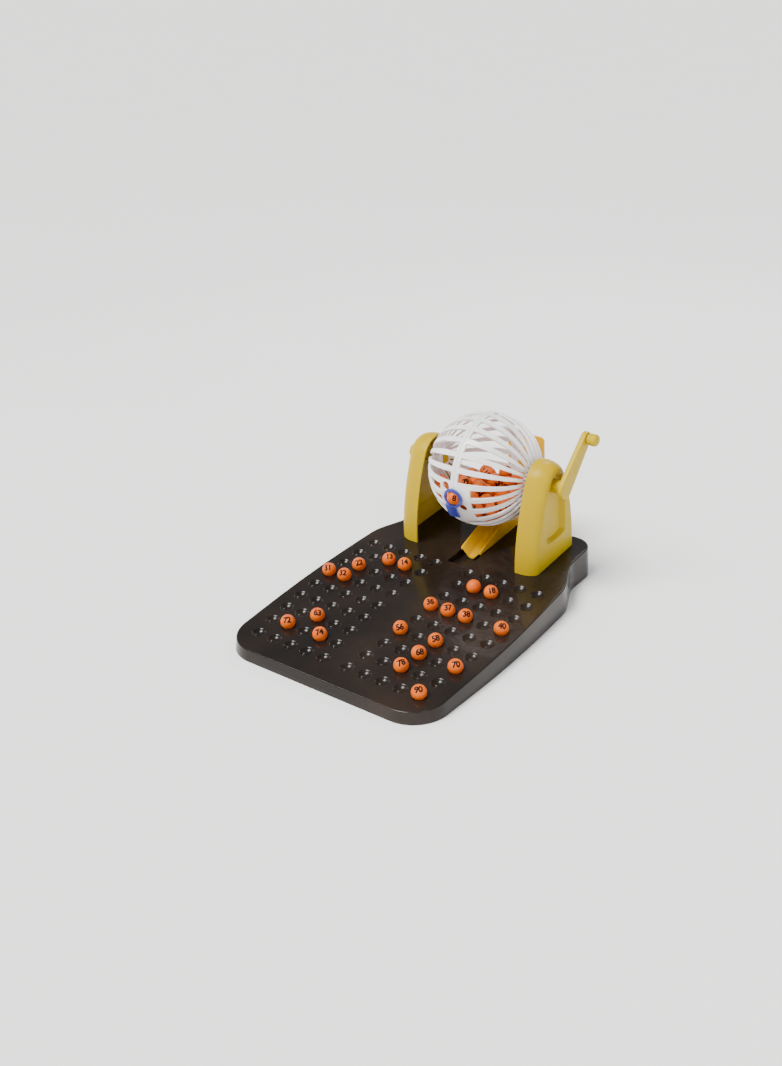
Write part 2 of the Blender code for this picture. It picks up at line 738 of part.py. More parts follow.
def main():
    clear_scene()
    deck = add_empty("deck_frame", (0.0, DECK_SHIFT, DECK_HEIGHT), (TILT, 0.0, 0.0), None)
    build_tray(deck)
    build_stand("stand_left", -1, deck)
    build_stand("stand_right", 1, deck)
    build_chute(deck)
    spin = add_empty("cage_axis", (0.0, CAGE_Y, CAGE_Z), (0.0, 0.0, 0.0), deck)
    build_cage_half("cage_half_left", -1, spin)
    build_cage_half("cage_half_right", 1, spin)
    build_gate(spin)
    build_crank(spin)
    build_knob(spin)
    build_axle(spin)
    build_ball("gate_ball", exit_direction(EXIT_ANGLE) * CAGE_RADIUS, spin)
    pile_pivot = add_empty("pile_pivot", (0.0, CAGE_Y, CAGE_Z), (0.0, 0.0, 0.0), deck)
    build_pile(pile_pivot)
    for number in TRAY_BALLS:
        x, y = hollow_centre(number)
        seat = BALL_RADIUS - HOLLOW_DEPTH + GAP
        build_ball(f"ball_{number}", (x, y, seat), deck)


main()
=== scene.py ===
"""Looks of the bingo cage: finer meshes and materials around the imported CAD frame."""
import json
import math

import bmesh
import bpy
import numpy as np
from mathutils import Matrix, Vector
from mathutils.geometry import delaunay_2d_cdt


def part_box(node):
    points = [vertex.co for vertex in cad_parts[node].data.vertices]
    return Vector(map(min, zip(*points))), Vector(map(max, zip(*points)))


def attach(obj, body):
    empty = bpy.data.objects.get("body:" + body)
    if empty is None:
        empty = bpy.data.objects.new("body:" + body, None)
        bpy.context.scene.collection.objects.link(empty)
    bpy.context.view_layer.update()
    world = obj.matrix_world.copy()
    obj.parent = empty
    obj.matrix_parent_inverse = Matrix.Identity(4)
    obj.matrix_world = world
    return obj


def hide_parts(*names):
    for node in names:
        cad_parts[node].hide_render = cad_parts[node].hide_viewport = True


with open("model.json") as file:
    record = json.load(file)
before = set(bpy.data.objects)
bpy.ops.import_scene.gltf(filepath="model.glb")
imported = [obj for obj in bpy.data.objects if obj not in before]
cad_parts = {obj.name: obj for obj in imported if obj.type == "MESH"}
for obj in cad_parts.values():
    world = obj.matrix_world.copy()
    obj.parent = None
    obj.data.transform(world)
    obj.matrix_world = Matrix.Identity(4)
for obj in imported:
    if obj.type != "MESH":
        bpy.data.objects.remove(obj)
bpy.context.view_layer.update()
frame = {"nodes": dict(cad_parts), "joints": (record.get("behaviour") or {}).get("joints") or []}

MM = 0.001
BALL_RADIUS = 7.5 * MM
GAP = 0.3 * MM
HOLLOW_DEPTH = 3.8 * MM


def box_centre(node):
    low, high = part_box(node)
    return (low + high) / 2


# ---------------- frame

# The deck's own frame: x to the crank side, y to the back from the front row of hollows,
# z out of the deck. It is found from tray balls 36 and 37, side by side, and 13 and 63,
# one before the other.
PITCH = box_centre("ball_37").x - box_centre("ball_36").x
BACK_SEAT_ROW = 7
FRONT_SEAT_ROW = 2
seat_back = box_centre("ball_13")
seat_front = box_centre("ball_63")
TILT = math.atan2(seat_back.z - seat_front.z, seat_back.y - seat_front.y)
HOLLOW_ROW_PITCH = (seat_back - seat_front).yz.length / (BACK_SEAT_ROW - FRONT_SEAT_ROW)
SEAT_HEIGHT = BALL_RADIUS - HOLLOW_DEPTH + GAP
DECK_TURN = Matrix.Rotation(TILT, 4, "X")
row_offset = DECK_TURN @ Vector((0.0, BACK_SEAT_ROW * HOLLOW_ROW_PITCH, SEAT_HEIGHT))
DECK_ORIGIN = Vector((0.0, seat_back.y - row_offset.y, seat_back.z - row_offset.z))
DECK = Matrix.Translation(DECK_ORIGIN) @ DECK_TURN

spin_joint = next(j for j in frame["joints"] if j["name"] == "cage_spin")
AXIS = Vector(spin_joint["pos_m"])
AXIS_DECK = DECK.inverted() @ AXIS
CAGE_Y, CAGE_Z = AXIS_DECK.y, AXIS_DECK.z
SPIN = Matrix.Translation(AXIS) @ DECK_TURN

TRAY_FRONT = -1.38 * PITCH
TRAY_BACK = 15.35 * PITCH
TRAY_WALL = 2.4 * MM
SKIRT_DRAFT = 1.6 * MM
# The tray's sides and the gap between its two groups of hollows, all in pitches.
FRONT_HALF_WIDTH = 5.9
SIDE_BOW = 0.17
BOW_START = 0.4
BOW_LENGTH = 10.0
SIDE_NARROWING = 0.87
NARROWING_START = 10.3
NARROWING_LENGTH = 2.8
HOLLOW_GAP_HALF = 0.698
HOLLOW_GAP_GROWTH = 0.192
HOLLOW_GAP_CURVE = 0.019
BALL_COUNT = 90
BACK_ROW = 8
ROW_SIDE = 5
BOWL_SIDES = 32
BOWL_RADIUS = 8.3 * MM
CUP_SIDES = 20
CUP_RADIUS = 8.4 * MM
CAGE_RADIUS = 2.95 * PITCH
CAGE_WALL = 2.4 * MM
RIB_COUNT = 24
RIB_WIDTH_AT_RING = 5.6 * MM
RIB_WIDTH_AT_HUB = 2.6 * MM
RING_HALF_WIDTH = 4.0 * MM
HUB_RADIUS = 14.3 * MM
SHANK_HALF_SIDE = 4.7 * MM
JOURNAL_RADIUS = 7.0 * MM
STAND_INNER_X = 3.02 * PITCH
STAND_DEPTH = 1.13 * PITCH
STAND_WALL = 2.0 * MM
STAND_TOP_RADIUS = 1.2 * PITCH
STAND_FRONT_HALF = 2.25 * PITCH
STAND_REAR_HALF = 1.98 * PITCH
RECESS_DEPTH = 5.0 * MM
RECESS_RIM = (0.66 * PITCH, 0.98 * PITCH, 0.86 * PITCH, 1.28 * PITCH)
RECESS_FLOOR = (0.5 * PITCH, 0.78 * PITCH, 0.66 * PITCH, 1.46 * PITCH)
CHUTE_HALF_WIDTH = 12.6 * MM
CHUTE_FRONT = 11.25 * PITCH
CHUTE_BACK = 15.1 * PITCH
CHUTE_SLOPE = 0.29
CHUTE_FRONT_HEIGHT = 3.5 * MM
CHUTE_DEPTH = 9.8 * MM
CHUTE_WALL = 1.8 * MM
WELL_FRONT = 9.95 * PITCH
WELL_HALF_WIDTH = 13.0 * MM
WELL_DEPTH = 8.4 * MM
WELL_RAMP_START = CHUTE_FRONT + 1.0 * MM
SHIELD_Y = 16.95 * PITCH
SHIELD_HALF_WIDTH = 1.12 * PITCH
SHIELD_TOP = 4.45 * PITCH
SHIELD_FOOT = CHUTE_FRONT_HEIGHT - CHUTE_DEPTH + CHUTE_SLOPE * (SHIELD_Y - CHUTE_FRONT) - CHUTE_WALL
CRANK_X = 4.6 * PITCH
CRANK_LENGTH = 2.78 * PITCH
CRANK_LEAN = math.radians(48.0)
CRANK_BOSS_RADIUS = 11.2 * MM
CRANK_TIP_RADIUS = 7.4 * MM
CRANK_HALF_THICK = 3.0 * MM
PEG_LENGTH = 11.0 * MM
PEG_RADIUS = 2.8 * MM
KNOB_FAR = 14.5 * MM
SHANK_INNER_X = 51.0 * MM
SHANK_OUTER_X = 75.0 * MM
JOURNAL_INNER_X = 73.0 * MM
AXLE_CAP_RADIUS = 9.4 * MM
AXLE_CAP_LENGTH = 10.0 * MM
EXIT_ANGLE = math.radians(6.0)
EXIT_HOLE_RADIUS = 8.4 * MM
WINDOW_RADIUS = 4.8 * MM
# By side: degrees from the hub, and degrees down from the front.
WINDOW_PLACES = {-1: (80.1, -3.9), 1: (82.2, 17.7)}
DIGIT_SIZE = 8.4 * MM
DIGIT_THICKENING = 0.34 * MM
INK_LIFT = 0.02 * MM
GATE_BALL_NUMBER = 8
TRAY_NUMBERS = sorted(int(n[5:]) for n in frame["nodes"] if n.startswith("ball_") and n[5:].isdigit())
# The one tray ball whose number is turned away.
BLANK_BALL = 17


# ---------------- camera

def add_camera():
    """The camera, set in the deck's frame by its bearing, height angle, roll and distance."""
    bearing, height, roll = math.radians(39.0), math.radians(29.6), math.radians(-4.7)
    distance = 62.5 * PITCH
    target = Vector((-4.87 * PITCH, 10.80 * PITCH, 0.0))
    back = Vector((
        math.sin(bearing) * math.cos(height),
        -math.cos(bearing) * math.cos(height),
        math.sin(height),
    ))
    right = Vector((0, 0, 1)).cross(back).normalized()
    up = back.cross(right)
    rolled_right = right * math.cos(roll) + up * math.sin(roll)
    rolled_up = -right * math.sin(roll) + up * math.cos(roll)
    turn = Matrix((rolled_right, rolled_up, back)).transposed().to_4x4()
    camera = bpy.data.objects.new("camera", bpy.data.cameras.new("camera"))
    bpy.context.scene.collection.objects.link(camera)
    camera.matrix_world = DECK @ Matrix.Translation(target + back * distance) @ turn
    camera.data.sensor_width = 36.0
    camera.data.lens = 39.0056
    camera.data.clip_start = 0.05
    camera.data.clip_end = 300.0
    bpy.context.scene.camera = camera


# ---------------- materials

def set_inputs(node, values):
    for name, value in values.items():
        node.inputs[name].default_value = value


def node_material(name):
    """A Principled material, its tree and shader, and its object-space coordinates."""
    material = bpy.data.materials.new(name)
    material.use_nodes = True
    tree = material.node_tree
    coords = tree.nodes.new("ShaderNodeTexCoord").outputs["Object"]
    return material, tree, tree.nodes["Principled BSDF"], coords


def noise(tree, coords, scale, detail=4.0, stretch=None):
    """A noise value, drawn out along the axes where stretch is under 1."""
    if stretch:
        mapping = tree.nodes.new("ShaderNodeMapping")
        set_inputs(mapping, {"Scale": stretch})
        tree.links.new(coords, mapping.inputs["Vector"])
        coords = mapping.outputs["Vector"]
    texture = tree.nodes.new("ShaderNodeTexNoise")
    set_inputs(texture, {"Scale": scale, "Detail": detail})
    tree.links.new(coords, texture.inputs["Vector"])
    return texture.outputs["Fac"]


def ramp(tree, value, stops):
    """Maps a value to colours; stops are (place, colour)."""
    node = tree.nodes.new("ShaderNodeValToRGB")
    node.color_ramp.elements[0].position = stops[0][0]
    node.color_ramp.elements[0].color = (*stops[0][1], 1.0)
    node.color_ramp.elements[1].position = stops[-1][0]
    node.color_ramp.elements[1].color = (*stops[-1][1], 1.0)
    for place, colour in stops[1:-1]:
        element = node.color_ramp.elements.new(place)
        element.color = (*colour, 1.0)
    tree.links.new(value, node.inputs["Fac"])
    return node.outputs["Color"]


def value_range(tree, value, low, high, out_low, out_high):
    """Maps a value from one range to another."""
    node = tree.nodes.new("ShaderNodeMapRange")
    set_inputs(node, {"From Min": low, "From Max": high, "To Min": out_low, "To Max": out_high})
    tree.links.new(value, node.inputs["Value"])
    return node.outputs["Result"]


def add_bump(tree, shader, heights, distance, strength):
    """Adds up heights and feeds them to the shader as one bump."""
    total = heights[0]
    for height in heights[1:]:
        add = tree.nodes.new("ShaderNodeMath")
        add.operation = "ADD"
        tree.links.new(total, add.inputs[0])
        tree.links.new(height, add.inputs[1])
        total = add.outputs[0]
    bump = tree.nodes.new("ShaderNodeBump")
    set_inputs(bump, {"Distance": distance, "Strength": strength})
    tree.links.new(total, bump.inputs["Height"])
    tree.links.new(bump.outputs["Normal"], shader.inputs["Normal"])


def vary_roughness(tree, shader, value, smooth, rough, low=0.3, high=0.7):
    """Takes the roughness from smooth to rough as a noise value goes from low to high."""
    tree.links.new(value_range(tree, value, low, high, smooth, rough), shader.inputs["Roughness"])


def wear_edges(tree, shader, colour, low, high, highlight):
    """Gives the shader a colour that turns to a paler one, a painted highlight, on the mesh's most convex
    edges.
    """
    pointiness = tree.nodes.new("ShaderNodeNewGeometry").outputs["Pointiness"]
    mix = tree.nodes.new("ShaderNodeMix")
    mix.data_type = "RGBA"
    plain_socket, highlight_socket, mixed = mix.inputs[6], mix.inputs[7], mix.outputs[2]
    tree.links.new(value_range(tree, pointiness, low, high, 0.0, 1.0), mix.inputs["Factor"])
    tree.links.new(colour, plain_socket)
    highlight_socket.default_value = (*highlight, 1.0)
    tree.links.new(mixed, shader.inputs["Base Color"])


def scatter_light(shader, weight, radius, scale):
    """Lets light a little way into the plastic; the radius is for red, green and blue."""
    set_inputs(shader, {"Subsurface Weight": weight, "Subsurface Radius": radius, "Subsurface Scale": scale})


def tray_material():
    """Glossy black moulding with a warm cast, faint flow marks and a painted highlight on its edges."""
    material, tree, shader, coords = node_material("tray_black_plastic")
    cloud = ramp(tree, noise(tree, coords, 14.0), [
        (0.3, (0.007, 0.0055, 0.005)), (0.55, (0.014, 0.0095, 0.007)), (0.75, (0.024, 0.015, 0.010)),
    ])
    wear_edges(tree, shader, cloud, 0.54, 0.66, (0.06, 0.045, 0.04))
    smears = noise(tree, coords, 30.0, 6.0, (1.0, 0.25, 1.0))
    vary_roughness(tree, shader, smears, 0.14, 0.30, 0.3, 0.75)
    grain = [noise(tree, coords, 900.0, 2.0), noise(tree, coords, 60.0, 3.0)]
    add_bump(tree, shader, grain, 0.04 * MM, 0.35)
    set_inputs(shader, {"Specular IOR Level": 0.15, "Coat Weight": 0.18, "Coat Roughness": 0.04})
    return material


def yellow_material(name, light, deep, subsurface):
    """Slightly see-through yellow moulding with flow marks, fine texture and paler edges that are a painted
    highlight.
    """
    material, tree, shader, coords = node_material(name)
    flow = ramp(tree, noise(tree, coords, 22.0, 5.0, (1.0, 1.0, 0.35)), [(0.3, deep), (0.7, light)])
    wear_edges(tree, shader, flow, 0.52, 0.60, [c * 1.06 + 0.01 for c in light])
    vary_roughness(tree, shader, noise(tree, coords, 70.0), 0.27, 0.42)
    grain = [noise(tree, coords, 1400.0, 2.0), noise(tree, coords, 120.0, 2.0)]
    add_bump(tree, shader, grain, 0.05 * MM, 0.3)
    set_inputs(shader, {"Specular IOR Level": 0.14})
    scatter_light(shader, subsurface, (1.0, 0.55, 0.03), 4.0 * MM)
    return material


def white_material():
    """Milky white moulding of the cage, a little dirty in places, with paler edges that are a painted
    highlight.
    """
    material, tree, shader, coords = node_material("cage_white_plastic")
    milk = ramp(tree, noise(tree, coords, 45.0), [(0.3, (0.76, 0.73, 0.72)), (0.65, (0.87, 0.855, 0.85))])
    wear_edges(tree, shader, milk, 0.53, 0.62, (0.93, 0.92, 0.92))
    vary_roughness(tree, shader, noise(tree, coords, 90.0), 0.30, 0.46)
    add_bump(tree, shader, [noise(tree, coords, 1600.0, 2.0)], 0.04 * MM, 0.3)
    scatter_light(shader, 0.30, (1.0, 0.85, 0.75), 3.0 * MM)
    return material


def blue_material():
    """Deep blue moulding of the gate, paler along its edges as a painted highlight."""
    material, tree, shader, coords = node_material("gate_blue_plastic")
    flow = ramp(tree, noise(tree, coords, 60.0), [(0.3, (0.010, 0.016, 0.20)), (0.7, (0.025, 0.038, 0.30))])
    wear_edges(tree, shader, flow, 0.53, 0.62, (0.07, 0.09, 0.42))
    vary_roughness(tree, shader, noise(tree, coords, 80.0), 0.24, 0.38)
    add_bump(tree, shader, [noise(tree, coords, 1500.0, 2.0)], 0.04 * MM, 0.3)
    return material


def orange_material():
    """Ball plastic: warm orange with soft mottling and small rub marks."""
    material, tree, shader, coords = node_material("ball_orange_plastic")
    mottle = ramp(tree, noise(tree, coords, 110.0, 5.0), [
        (0.28, (0.56, 0.082, 0.001)), (0.5, (0.64, 0.108, 0.002)), (0.72, (0.70, 0.14, 0.005)),
    ])
    tree.links.new(mottle, shader.inputs["Base Color"])
    vary_roughness(tree, shader, noise(tree, coords, 260.0, 6.0), 0.30, 0.52, 0.35, 0.7)
    add_bump(tree, shader, [noise(tree, coords, 1500.0, 2.0)], 0.04 * MM, 0.3)
    set_inputs(shader, {"Specular IOR Level": 0.25})
    scatter_light(shader, 0.08, (1.0, 0.30, 0.05), 2.0 * MM)
    return material


def ink_material():
    """Black print of the numbers, nearly matt and a little faded."""
    material, tree, shader, coords = node_material("number_ink")
    fade = ramp(tree, noise(tree, coords, 500.0), [
        (0.35, (0.006, 0.005, 0.005)), (0.8, (0.02, 0.012, 0.010)),
    ])
    tree.links.new(fade, shader.inputs["Base Color"])
    vary_roughness(tree, shader, noise(tree, coords, 700.0), 0.50, 0.65)
    set_inputs(shader, {"Specular IOR Level": 0.05})
    return material


def floor_material():
    """Matt, nearly white studio floor."""
    material, tree, shader, coords = node_material("floor_pale")
    soft = ramp(tree, noise(tree, coords, 3.0, 3.0), [
        (0.3, (0.94, 0.935, 0.93)), (0.7, (0.96, 0.955, 0.95)),
    ])
    tree.links.new(soft, shader.inputs["Base Color"])
    set_inputs(shader, {"Roughness": 0.8})
    return material


MATERIALS = {
    "tray": tray_material(),
    "yellow": yellow_material("stand_yellow_plastic", (0.46, 0.33, 0.0), (0.44, 0.285, 0.0), 0.10),
    "chute": yellow_material("chute_yellow_plastic", (0.66, 0.385, 0.0), (0.62, 0.30, 0.0), 0.12),
    "white": white_material(),
    "blue": blue_material(),
    "orange": orange_material(),
    "ink": ink_material(),
    "floor": floor_material(),
}


# ---------------- mesh helpers

def link_mesh(name, bm, materials=()):
    """Makes an object of a bmesh, which it frees, with materials by their keys."""
    mesh = bpy.data.meshes.new(name)
    bm.to_mesh(mesh)
    bm.free()
    for key in materials:
        mesh.materials.append(MATERIALS[key])
    obj = bpy.data.objects.new(name, mesh)
    bpy.context.scene.collection.objects.link(obj)
    return obj


def add_object(name, bm, material, place):
    """Makes an object of a bmesh moved by place, with its normals turned out; tools have no material."""
    bmesh.ops.recalc_face_normals(bm, faces=bm.faces)
    bm.transform(place)
    return link_mesh(name, bm, [material] if material else [])


def apply_modifiers(obj):
    """Replaces the object's mesh with what its modifiers give."""
    depsgraph = bpy.context.evaluated_depsgraph_get()
    mesh = bpy.data.meshes.new_from_object(obj.evaluated_get(depsgraph))
    obj.modifiers.clear()
    obj.data = mesh


def combine(obj, tools, operation):
    """Booleans tools into the object and deletes them."""
    for tool in tools:
        modifier = obj.modifiers.new(tool.name, "BOOLEAN")
        modifier.operation = operation
        modifier.solver = "EXACT"
        modifier.object = tool
    apply_modifiers(obj)
    for tool in tools:
        bpy.data.objects.remove(tool, do_unlink=True)


def weight_normals(obj):
    """Smooths all but sharp edges, with normals weighted by face area so that flat faces stay flat."""
    obj.data.shade_smooth()
    obj.data.set_sharp_from_angle(angle=math.radians(50.0))
    weighted = obj.modifiers.new("weighted_normals", "WEIGHTED_NORMAL")
    weighted.keep_sharp = True
    weighted.weight = 100


def finish_edges(obj, width, angle=35.0, segments=2):
    """Rounds the edges that are sharper than the angle."""
    bevel = obj.modifiers.new("edges", "BEVEL")
    bevel.width = width
    bevel.segments = segments
    bevel.limit_method = "ANGLE"
    bevel.angle_limit = math.radians(angle)
    apply_modifiers(obj)
    weight_normals(obj)


def settle(obj, body, node):
    """Makes the object ride on its body in place of its CAD node."""
    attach(obj, body)
    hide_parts(node)


def join_rings(bm, near, far, closed=True):
    """Joins two rings of vertices, point by point, with quads."""
    count = len(near)
    for i in range(count if closed else count - 1):
        j = (i + 1) % count
        bm.faces.new((near[i], near[j], far[j], far[i]))


def loft(bm, loops, cap_start=True, cap_end=True, closed=True):
    """Skins loops of points in their order; gives back their vertices."""
    rings = [[bm.verts.new(point) for point in loop] for loop in loops]
    for near, far in zip(rings, rings[1:]):
        join_rings(bm, near, far, closed)
    if cap_start:
        bm.faces.new(rings[0])
    if cap_end:
        bm.faces.new(rings[-1])
    return rings


def arc(centre, radius, start, end, steps):
    angles = (math.radians(start + (end - start) * i / steps) for i in range(steps + 1))
    return [(centre[0] + radius * math.cos(a), centre[1] + radius * math.sin(a)) for a in angles]


def circle(radius, sides):
    angles = (2 * math.pi * i / sides for i in range(sides))
    return [(radius * math.cos(a), radius * math.sin(a)) for a in angles]


def offset_outline(points, inset, closed=True):
    """Moves each point of an anticlockwise outline inwards along its normal."""
    moved = []
    count = len(points)
    for i, point in enumerate(points):
        before = points[i - 1] if closed or i > 0 else point
        after = points[(i + 1) % count] if closed or i < count - 1 else point
        along = Vector((after[0] - before[0], after[1] - before[1])).normalized()
        moved.append((point[0] - along.y * inset, point[1] + along.x * inset))
    return moved


def cylinder(start, end, radius, sides):
    bm = bmesh.new()
    axis = Vector(end) - Vector(start)
    turn = Vector((0, 0, 1)).rotation_difference(axis).to_matrix().to_4x4()
    place = Matrix.Translation((Vector(start) + Vector(end)) / 2) @ turn
    bmesh.ops.create_cone(
        bm, cap_ends=True, segments=sides, radius1=radius, radius2=radius,
        depth=axis.length, matrix=place,
    )
    return bm


def turned(profile, sides):
    """A solid turned about the axle, with flat ends, from (along, radius) points."""
    bm = bmesh.new()
    loft(bm, [[(along, u, v) for u, v in circle(radius, sides)] for along, radius in profile])
    return bm


# ---------------- tray

def side_half_width(y):
    """Half width of the deck at y: a slight bow, then an S-curve in to the stand end."""
    bow_share = min(max((y / PITCH - BOW_START) / BOW_LENGTH, 0.0), 1.0)
    bow = SIDE_BOW * math.sin(math.pi * bow_share)
    t = min(max((y / PITCH - NARROWING_START) / NARROWING_LENGTH, 0.0), 1.0)
    narrowing = SIDE_NARROWING * t * t * (3 - 2 * t)
    return (FRONT_HALF_WIDTH + bow - narrowing) * PITCH


def tray_outline():
    """The deck's edge, anticlockwise from the front's right corner."""
    front_radius = 1.75 * PITCH
    back_radius = 1.0 * PITCH
    front_y = TRAY_FRONT + front_radius
    back_y = TRAY_BACK - back_radius
    right = arc((side_half_width(front_y) - front_radius, front_y), front_radius, -90, 0, 18)
    steps = 56
    for i in range(1, steps):
        y = front_y + (back_y - front_y) * i / steps
        right.append((side_half_width(y), y))
    right += arc((side_half_width(back_y) - back_radius, back_y), back_radius, 0, 90, 14)
    left = [(-x, y) for x, y in reversed(right)]
    return right + left


def hollow_gap(row_back):
    """Distance from the middle to the nearest hollow of a row, counted from the front."""
    return (HOLLOW_GAP_HALF + HOLLOW_GAP_GROWTH * row_back - HOLLOW_GAP_CURVE * row_back ** 2) * PITCH


def hollow_centre(number):
    """Place of a hollow; they are numbered in rows from the back, with five on each side."""
    row, column = divmod(number - 1, 2 * ROW_SIDE)
    row_back = BACK_ROW - row
    side = 1 if column >= ROW_SIDE else -1
    steps_out = column - ROW_SIDE if side > 0 else ROW_SIDE - 1 - column
    return side * (hollow_gap(row_back) + steps_out * PITCH), row_back * HOLLOW_ROW_PITCH


def bowl_profile():
    """Hollow from the deck down (z, radius): a rounded lip, then a bowl a little wider than a ball."""
    depth = HOLLOW_DEPTH - 0.1 * MM
    centre = BOWL_RADIUS - depth
    lip_z = -0.62 * MM
    start = math.degrees(math.acos((centre - lip_z) / BOWL_RADIUS))
    points = [(0.0, 7.55 * MM), (-0.05 * MM, 7.25 * MM), (-0.2 * MM, 7.0 * MM), (-0.38 * MM, 6.85 * MM)]
    steps = 8
    for i in range(steps):
        a = math.radians(start * (1 - i / steps))
        points.append((centre - BOWL_RADIUS * math.cos(a), BOWL_RADIUS * math.sin(a)))
    points.append((-depth, 0.3 * MM))
    return points


def cup_profile():
    """Outside of a hollow under the deck (z, radius)."""
    bottom = -HOLLOW_DEPTH - 1.7 * MM
    return [(-TRAY_WALL, CUP_RADIUS), (-3.2 * MM, 7.9 * MM), (-4.6 * MM, 6.0 * MM), (bottom, 3.4 * MM)]


def lathe_down(bm, profile, sides, centre):
    """A cup hanging from its first circle; gives back that circle."""
    x, y = centre
    loops = [[(x + u, y + v, z) for u, v in circle(radius, sides)] for z, radius in profile]
    return loft(bm, loops, cap_start=False)[0]


def well_floor(y):
    """Height of the well's floor: level, then a ramp up under the ball chute."""
    return min(0.0, CHUTE_SLOPE * max(0.0, y - WELL_RAMP_START) - WELL_DEPTH)


def well_plan(grow, floor_at_back):
    """Half of the well's plan, from its front middle to its back end, as (x, y)."""
    half_width = WELL_HALF_WIDTH + grow
    front = WELL_FRONT - grow
    back = WELL_RAMP_START + (WELL_DEPTH + floor_at_back) / CHUTE_SLOPE
    corner = 2.5 * MM + max(grow, -1.0 * MM)
    points = arc((half_width - corner, front + corner), corner, -90, 0, 5)
    start = points[-1][1]
    steps = 14
    points += [(half_width, start + (back - start) * i / steps) for i in range(1, steps + 1)]
    return points


def hang_well(bm, halves):
    """Hangs a well from the deck, from half loops of points; gives back its top loop."""
    rings = []
    for half in halves:
        right = [bm.verts.new(point) for point in half]
        left = [bm.verts.new((-x, y, z)) for x, y, z in half]
        rings.append(right + left[::-1])
    for near, far in zip(rings, rings[1:]):
        join_rings(bm, near, far)
    last = rings[-1]
    count = len(last)
    for i in range(count // 2 - 1):
        bm.faces.new((last[i], last[i + 1], last[count - 2 - i], last[count - 1 - i]))
    return rings[0]


def is_inside(x, y, loop):
    """Whether a point is inside a loop of vertices, seen from above."""
    crossings = 0
    for near, far in zip(loop, loop[1:] + loop[:1]):
        if (near.co.y > y) != (far.co.y > y):
            share = (y - near.co.y) / (far.co.y - near.co.y)
            crossings += near.co.x + share * (far.co.x - near.co.x) > x
    return crossings % 2 == 1


def fill_with_holes(bm, outline, holes):
    """Fills the flat area between an outline and the loops of holes in it."""
    owners, coords, edges = [], [], []
    for loop in [outline] + holes:
        first = len(coords)
        owners += loop
        coords += [Vector((v.co.x, v.co.y)) for v in loop]
        edges += [(first + i, first + (i + 1) % len(loop)) for i in range(len(loop))]
    inside_constraints = 1
    nearness = 1e-9
    _, _, faces, sources, _, _ = delaunay_2d_cdt(coords, edges, [], inside_constraints, nearness)
    boxes = []
    for loop in holes:
        xs, ys = [v.co.x for v in loop], [v.co.y for v in loop]
        boxes.append((min(xs), max(xs), min(ys), max(ys), loop))
    for face in faces:
        corners = [owners[sources[i][0]] for i in face]
        x = sum(v.co.x for v in corners) / 3
        y = sum(v.co.y for v in corners) / 3
        around = [loop for left, right, low, high, loop in boxes if left < x < right and low < y < high]
        if not any(is_inside(x, y, loop) for loop in around):
            bm.faces.new(corners)


def build_tray():
    """A hollow shell: skirt, deck with ninety bowls over ninety cups, and the ball well."""
    outline = tray_outline()
    to_deck = DECK.inverted()

    def on_ground(inset):
        plan = offset_outline(outline, inset)
        return [to_deck @ Vector((x, (DECK @ Vector((x, y, 0))).y, 0.0)) for x, y in plan]

    def on_deck(inset, z):
        return [Vector((x, y, z)) for x, y in offset_outline(outline, inset)]

    edge = 1.5 * MM
    foot = 0.4 * MM
    loops = [
        on_deck(TRAY_WALL + 0.8 * MM, -TRAY_WALL),
        on_deck(TRAY_WALL, -TRAY_WALL - 0.8 * MM),
        on_ground(TRAY_WALL - SKIRT_DRAFT),
        on_ground(foot - SKIRT_DRAFT),
        [v + Vector((0, 0, foot)) for v in on_ground(-SKIRT_DRAFT)],
    ]
    for degrees in range(0, 91, 15):
        a = math.radians(degrees)
        loops.append(on_deck(edge * (1 - math.cos(a)), -edge * (1 - math.sin(a))))
    bm = bmesh.new()
    rings = loft(bm, loops, cap_start=False, cap_end=False)
    centres = [hollow_centre(number) for number in range(1, BALL_COUNT + 1)]
    bowls = [lathe_down(bm, bowl_profile(), BOWL_SIDES, centre) for centre in centres]
    cups = [lathe_down(bm, cup_profile(), CUP_SIDES, centre) for centre in centres]
    cavity = []
    for grow, share in ((0.5, 0.0), (0.1, 0.05), (0.0, 0.15), (0.0, 0.88), (-0.3, 0.97), (-1.0, 1.0)):
        cavity.append([(x, y, share * well_floor(y)) for x, y in well_plan(grow * MM, -0.5 * MM)])
    wall = 1.8 * MM
    shell_plan = well_plan(wall, -1.0 * MM)
    well = hang_well(bm, cavity)
    shell = hang_well(bm, [
        [(x, y, -TRAY_WALL) for x, y in shell_plan],
        [(x, y, well_floor(y) - wall) for x, y in shell_plan],
    ])
    fill_with_holes(bm, rings[-1], bowls + [well])
    fill_with_holes(bm, rings[0], cups + [shell])
    tray = add_object("ball_tray", bm, "tray", DECK)
    weight_normals(tray)
    settle(tray, "base", "base_tray")


# ---------------- stands

def arch(top_radius, front_half, rear_half, foot_z):
    """Open arch (y from the axle, z) from its front foot over the axle to its rear foot."""
    join_angle = 25.0
    join_half = top_radius * math.cos(math.radians(join_angle))
    rise = CAGE_Z + top_radius * math.sin(math.radians(join_angle)) - foot_z
    steps = 22

    def leg(foot_half):
        spread = foot_half - join_half
        power = math.tan(math.radians(join_angle)) * rise / spread
        shares = [i / steps for i in range(steps)]
        return [(join_half + spread * (1 - share ** power), foot_z + share * rise) for share in shares]

    front = [(-y, z) for y, z in leg(front_half)]
    top = arc((0.0, CAGE_Z), top_radius, 180 - join_angle, join_angle, 28)
    return front + top + leg(rear_half)[::-1]


def outer_arch(inset):
    """The stand's outline moved in by inset, with its feet kept on the deck."""
    outline = arch(STAND_TOP_RADIUS, STAND_FRONT_HALF, STAND_REAR_HALF, 0.0)
    return [(y, max(z, 0.0)) for y, z in offset_outline(outline, -inset, closed=False)]


